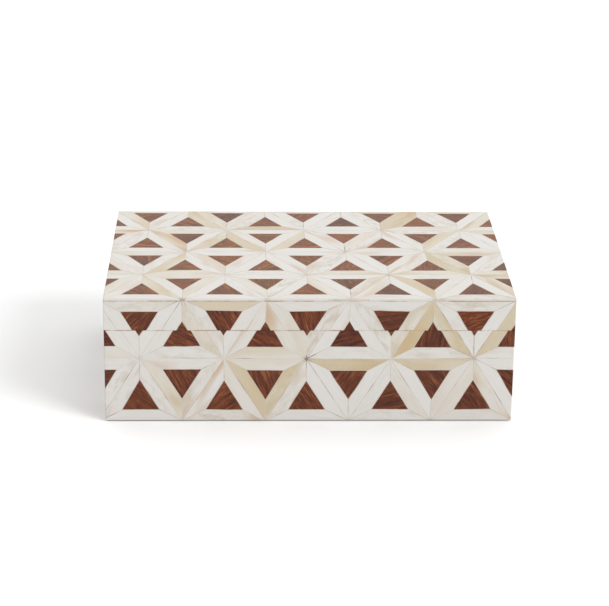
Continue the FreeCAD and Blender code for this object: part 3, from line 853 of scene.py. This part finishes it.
for seed, (side, (corner, turn, (first, columns), slip)) in enumerate(faces.items(), first_seed):
    rows, pitch = (4, top_pitch) if side == "top" else (2, side_pitch)
    face_turn = Euler([math.radians(angle) for angle in turn])
    start = first_node if side != "left" else -first_node
    origin = Vector(corner) + face_turn.to_matrix() @ Vector((start + slip, -sheet_overhang, 0))
    for shell in ("lid",) if side == "top" else ("base", "lid"):
        filler = f"{shell}_{side}_filler"
        bed = grow(
            f"{shell}_{side}_resin",
            resin_bed,
            {
                "Sunk": resin_sunk,
                "Material": resin,
                **block,
                "Mortise Size": block["Mortise Size"] + Vector([2 * resin_sunk] * 3),
                **skin_window(filler, 0.0, resin_sunk),
            },
        )
        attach(bed, shell)
        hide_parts(filler)
        # The top's triangles take the copy of the wood painted lighter as painted sheen.
        for kind, finish, slot in (
            ("bone_strips", bone, "bone_strips"),
            ("wood_triangles", sheesham_with_painted_sheen if side == "top" else sheesham, "sheesham_triangles"),
        ):
            lift = saw_kerf - (lid_rim - base_rim) if shell == "lid" and side != "top" else 0.0
            inlaid = grow(
                f"{shell}_{side}_{kind}_inlaid",
                triangle_inlay,
                {
                    "Wood": kind == "wood_triangles",
                    "Cell Width": cell_width,
                    "Row Pitch": pitch,
                    "Triangle Side": triangle_side,
                    "Strip Width": strip_width,
                    "Joint": joint_width,
                    "Stock Thickness": 3 * skin,
                    "Columns": columns,
                    "Rows": rows,
                    "First Column": first,
                    "Wander": wander,
                    "Wander Length": wander_length,
                    "Face Origin": origin - Vector((0, 0, lift)),
                    "Face Turn": face_turn,
                    "Seed": seed,
                    "Material": finish,
                    **block,
                    **skin_window(filler, joint_width / 2),
                },
            )
            softened = inlaid.modifiers.new("arrises", "BEVEL")
            softened.width = arris
            softened.segments = 1
            softened.limit_method = "ANGLE"
            softened.angle_limit = arris_angle
            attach(inlaid, shell)
            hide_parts(f"{shell}_{side}_{kind}")

# ------------------------------------------------------------------------------------- linings
# Velvet-covered card inside the base and the lid: dark red cotton velvet, its edges turned over
# thin card, glued down flat on the floor and under the lid and standing round the walls.

turned_edge = 0.6 * mm
pile_length = 0.5 * mm


def card_tree():
    """A card covered in cloth. Its points crowd towards the edges, where the cloth turns over it,
    and its broad faces are a little uneven."""
    tree = bpy.data.node_groups.new("covered card", "GeometryNodeTree")
    given = named_inputs(
        tree,
        {
            "Size": "Vector",
            "Centre": "Vector",
            "Turn": "Rotation",
            "Edge Radius": "Float",
            "Unevenness": "Float",
            "Unevenness Length": "Float",
            "Material": "Material",
        },
    )
    blank = node(
        tree,
        "GeometryNodeMeshCube",
        {"Size": (1, 1, 1), "Vertices X": 61, "Vertices Y": 41, "Vertices Z": 9},
    )
    place = node(tree, "GeometryNodeInputPosition")
    quarter = node(tree, "ShaderNodeVectorMath", {0: place, "Scale": math.pi}, operation="SCALE")
    crowded = node(tree, "ShaderNodeVectorMath", {0: quarter}, operation="SINE")
    half = node(tree, "ShaderNodeVectorMath", {0: given["Size"], "Scale": 0.5}, operation="SCALE")
    spread = node(tree, "ShaderNodeVectorMath", {0: crowded, 1: half}, operation="MULTIPLY")

    # Every point is pulled on to a block with rounded edges: its nearest point on the inner block,
    # and from there the edge's radius outwards.
    radius = node(tree, "ShaderNodeCombineXYZ", {i: given["Edge Radius"] for i in range(3)})
    core = node(tree, "ShaderNodeVectorMath", {0: half, 1: radius}, operation="SUBTRACT")
    hollow = node(tree, "ShaderNodeVectorMath", {0: core, "Scale": -1.0}, operation="SCALE")
    capped = node(tree, "ShaderNodeVectorMath", {0: spread, 1: core}, operation="MINIMUM")
    nearest = node(tree, "ShaderNodeVectorMath", {0: capped, 1: hollow}, operation="MAXIMUM")
    outwards = node(tree, "ShaderNodeVectorMath", {0: spread, 1: nearest}, operation="SUBTRACT")
    way = node(tree, "ShaderNodeVectorMath", {0: outwards}, operation="NORMALIZE")
    reach = node(tree, "ShaderNodeVectorMath", {0: way, 1: radius}, operation="MULTIPLY")
    rounded = node(tree, "ShaderNodeVectorMath", {0: nearest, 1: reach}, operation="ADD")
    turned_over = node(tree, "GeometryNodeSetPosition", {"Geometry": blank, "Position": rounded})
    frequency = node(tree, "ShaderNodeMath", {0: 1.0, 1: given["Unevenness Length"]}, operation="DIVIDE")
    ripple = node(tree, "ShaderNodeTexNoise", {"Vector": place, "Scale": frequency, "Detail": 2.0})
    sunk = node(tree, "ShaderNodeMath", {0: ripple, 1: -1.0, 2: 0.3}, operation="MULTIPLY_ADD")
    depth = node(tree, "ShaderNodeMath", {0: sunk, 1: given["Unevenness"]}, operation="MULTIPLY")
    lower = node(tree, "ShaderNodeMath", {0: depth, 1: 0.0}, operation="MINIMUM")
    normal = node(tree, "GeometryNodeInputNormal")
    inwards = node(tree, "ShaderNodeVectorMath", {0: normal, "Scale": lower}, operation="SCALE")
    dips = node(tree, "GeometryNodeSetPosition", {"Geometry": turned_over, "Offset": inwards})
    stood = node(
        tree,
        "GeometryNodeTransform",
        {"Geometry": dips, "Translation": given["Centre"], "Rotation": given["Turn"]},
    )
    smooth = node(tree, "GeometryNodeSetShadeSmooth", {"Geometry": stood})
    real = node(tree, "GeometryNodeRealizeInstances", {"Geometry": smooth})
    done = node(tree, "GeometryNodeSetMaterial", {"Geometry": real, "Material": given["Material"]})
    node(tree, "NodeGroupOutput", {0: done})
    return tree


def cotton_velvet():
    """Dark red velvet: the pile glows at grazing angles, and broad lighter patches are painted in as
    painted sheen of pile brushed the other way. Up close it is a mass of short upright fibres, with painted
    shade in the hollows between them."""
    made, tree, shader = new_material("dark red cotton velvet", roughness=0.95)
    shader.inputs["Sheen Weight"].default_value = 0.9
    shader.inputs["Sheen Roughness"].default_value = 0.35
    shader.inputs["Sheen Tint"].default_value = linear("#c8545c")
    shader.inputs["Specular IOR Level"].default_value = 0.15
    place = node(tree, "ShaderNodeTexCoord").outputs["Object"]
    # Painted sheen: broad patches of the velvet are painted lighter, as pile brushed the other way would
    # look.
    painted_sheen_patches = node(
        tree,
        "ShaderNodeTexNoise",
        {"Vector": place, "Scale": 1 / (52 * mm), "Detail": 2.0, "Distortion": 0.7},
    )
    colour = node(
        tree,
        "ShaderNodeValToRGB",
        {"Fac": painted_sheen_patches},
        stops=[(0.35, "#4f0f18"), (0.55, "#5b121c"), (0.75, "#6d1824")],
    )
    fibres = node(tree, "ShaderNodeTexNoise", {"Vector": place, "Scale": 1 / pile_length, "Detail": 3.0})
    # Painted shade: the bump's hollows between the fibres are mixed towards near-black.
    deep = node(
        tree, "ShaderNodeMapRange", {"Value": fibres, "From Min": 0.35, "From Max": 0.6, "To Min": 0.55}
    )
    pile_shaded = node(
        tree,
        "ShaderNodeMix",
        {0: deep, 6: linear("#24060a"), 7: colour},
        data_type="RGBA",
    )
    tree.links.new(pile_shaded.outputs[2], shader.inputs["Base Color"])
    relief = node(tree, "ShaderNodeBump", {"Height": fibres, "Strength": 0.6, "Distance": 0.2 * mm})
    tree.links.new(relief.outputs["Normal"], shader.inputs["Normal"])
    return made


def covered_card(name, covers, finish, edge, uneven):
    """One card in place of a CAD node. The tree makes it lying flat, and it is turned on edge if
    the node is thinnest from side to side or from front to back."""
    low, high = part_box(covers)
    size = high - low
    lying = [
        (Euler((0, math.pi / 2, 0)), Vector((size.z, size.y, size.x))),
        (Euler((math.pi / 2, 0, 0)), Vector((size.x, size.z, size.y))),
        (Euler(), size),
    ]
    turn, flat = lying[min(range(3), key=lambda axis: size[axis])]
    made = grow(
        name,
        covered,
        {
            "Size": flat,
            "Centre": (low + high) / 2,
            "Turn": turn,
            "Edge Radius": edge,
            "Unevenness": uneven,
            "Unevenness Length": 60 * mm,
            "Material": finish,
        },
    )
    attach(made, "lid" if covers.startswith("lid") else "base")
    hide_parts(covers)


covered = card_tree()
velvet = cotton_velvet()
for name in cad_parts:
    if name.endswith("_lining"):
        covered_card(f"{name}_velvet", name, velvet, turned_edge, 0.12 * mm)

# ---------------------------------------------------------------------------------------- felt
# A sheet of wool felt glued under the base, so that the box doesn't scratch a table: die cut, a
# little short of the edges all round.


def wool_felt():
    """Dark green wool felt: matted fibres running every way, painted lighter where the bump raises them and
    darker in its hollows, as painted highlight and shade.
    """
    made, tree, shader = new_material("dark green wool felt", roughness=1.0)
    shader.inputs["Sheen Weight"].default_value = 0.5
    shader.inputs["Sheen Roughness"].default_value = 0.6
    shader.inputs["Specular IOR Level"].default_value = 0.1
    place = node(tree, "ShaderNodeTexCoord").outputs["Object"]
    matted = node(
        tree,
        "ShaderNodeTexNoise",
        {"Vector": place, "Scale": 1 / (1.5 * mm), "Detail": 5.0, "Distortion": 2.5},
    )
    # Painted highlight and shade: the colour follows the same noise as the bump, lighter where it is raised
    # and darker in its hollows.
    colour = node(
        tree,
        "ShaderNodeValToRGB",
        {"Fac": matted},
        stops=[(0.35, "#1c3022"), (0.55, "#2b4632"), (0.75, "#4b6650")],
    )
    tree.links.new(colour.outputs[0], shader.inputs["Base Color"])
    relief = node(tree, "ShaderNodeBump", {"Height": matted, "Strength": 0.7, "Distance": 0.15 * mm})
    tree.links.new(relief.outputs["Normal"], shader.inputs["Normal"])
    return made


covered_card("felt_base_sheet", "felt_base_pad", wool_felt(), 0.15 * mm, 0.0)

# -------------------------------------------------------------------------------------- hinges
# Two brass stop hinges let in at the back: sawn sheet leaves with turned knuckles, hard pins, and
# slotted brass screws. Filed and buffed by hand, then left to dull.


def buffed_brass(name, along, groove):
    """Brass with fine scratches round one axis, browner and duller where it isn't handled."""
    made, tree, shader = new_material(name, roughness=0.3, metallic=1.0)
    place = node(tree, "ShaderNodeTexCoord").outputs["Object"]
    tarnish = node(tree, "ShaderNodeTexNoise", {"Vector": place, "Scale": 1 / (9 * mm), "Detail": 3.0})
    colour = node(
        tree,
        "ShaderNodeValToRGB",
        {"Fac": tarnish},
        stops=[(0.3, "#a5854e"), (0.5, "#b8975c"), (0.7, "#c9ab70")],
    )
    tree.links.new(colour.outputs[0], shader.inputs["Base Color"])
    stretch = [1 / groove] * 3
    stretch[along] *= 0.03
    drawn_out = node(tree, "ShaderNodeMapping", {"Vector": place, "Scale": stretch})
    scratches = node(tree, "ShaderNodeTexNoise", {"Vector": drawn_out, "Scale": 1.0, "Detail": 2.0})
    rubbed = node(tree, "ShaderNodeMapRange", {"Value": scratches, "To Min": 0.2, "To Max": 0.42})
    dulled = node(
        tree,
        "ShaderNodeMapRange",
        {"Value": tarnish, "From Min": 0.3, "From Max": 0.5, "To Min": 0.15, "To Max": 0.0},
    )
    rough = node(tree, "ShaderNodeMath", {0: rubbed, 1: dulled}, operation="ADD")
    tree.links.new(rough.outputs[0], shader.inputs["Roughness"])
    relief = node(tree, "ShaderNodeBump", {"Height": scratches, "Strength": 0.25, "Distance": 0.02 * mm})
    tree.links.new(relief.outputs["Normal"], shader.inputs["Normal"])
    return made


leaf_brass = buffed_brass("buffed brass leaf", along=0, groove=0.15 * mm)
turned_brass = buffed_brass("turned brass", along=2, groove=0.1 * mm)
for name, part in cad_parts.items():
    if name.startswith("hinge_"):
        part.data.materials.clear()
        part.data.materials.append(leaf_brass if name.endswith("_leaf") else turned_brass)

# ------------------------------------------------------------------------------------- studio
# A sheet of white paper in a white tent, one large soft lamp from the front right, and a long lens.

floor = bpy.data.objects.new("floor", bpy.data.meshes.new("floor"))
bpy.context.scene.collection.objects.link(floor)
floor_reach = 6.0
quadrants = ((-1, -1), (1, -1), (1, 1), (-1, 1))
floor.data.from_pydata([(x * floor_reach, y * floor_reach, 0) for x, y in quadrants], [], [(0, 1, 2, 3)])
paper, _, paper_shader = new_material("white paper sweep", roughness=0.9)
paper_shader.inputs["Base Color"].default_value = linear("#fbfbfb")
paper_shader.inputs["Specular IOR Level"].default_value = 0.0
floor.data.materials.append(paper)

scene = bpy.context.scene
scene.view_settings.view_transform = "Standard"

# A white tent: brightest overhead and behind the box, darker towards the camera.
tent_level = 0.645
tent_slope = (0.08, 0.34, 0.4)
scene.world = bpy.data.worlds.new("white tent")
scene.world.use_nodes = True
tent = scene.world.node_tree
facing = node(tent, "ShaderNodeTexCoord").outputs["Generated"]
brighter = node(tent, "ShaderNodeVectorMath", {0: facing, 1: tent_slope}, operation="DOT_PRODUCT")
level = node(tent, "ShaderNodeMath", {0: brighter.outputs["Value"], 1: tent_level}, operation="ADD")
tent.links.new(level.outputs[0], tent.nodes["Background"].inputs["Strength"])
tent.nodes["Background"].inputs["Color"].default_value = (1, 1, 1, 1)

# One lamp behind a diffuser, in front and to the right, throws the soft shadow back and left.
lamp = bpy.data.objects.new("lamp", bpy.data.lights.new("lamp", "SUN"))
lamp.data.angle = math.radians(30)
lamp.data.energy = 1.62
lamp_shines = Vector((-0.71, 0.5, -0.55))
lamp.rotation_euler = lamp_shines.to_track_quat("-Z", "Y").to_euler()
scene.collection.objects.link(lamp)

# Camera in front, a little to the left, looking down; distances from the box's front face.
camera = bpy.data.objects.new("camera", bpy.data.cameras.new("camera"))
scene.collection.objects.link(camera)
camera.data.sensor_width = 36
camera.data.lens = 126.06
camera.location = (-0.0467, -half_depth - 1.4695, 0.648)
camera.rotation_euler = [math.radians(angle) for angle in (69.387, -0.588, -1.433)]
scene.camera = camera
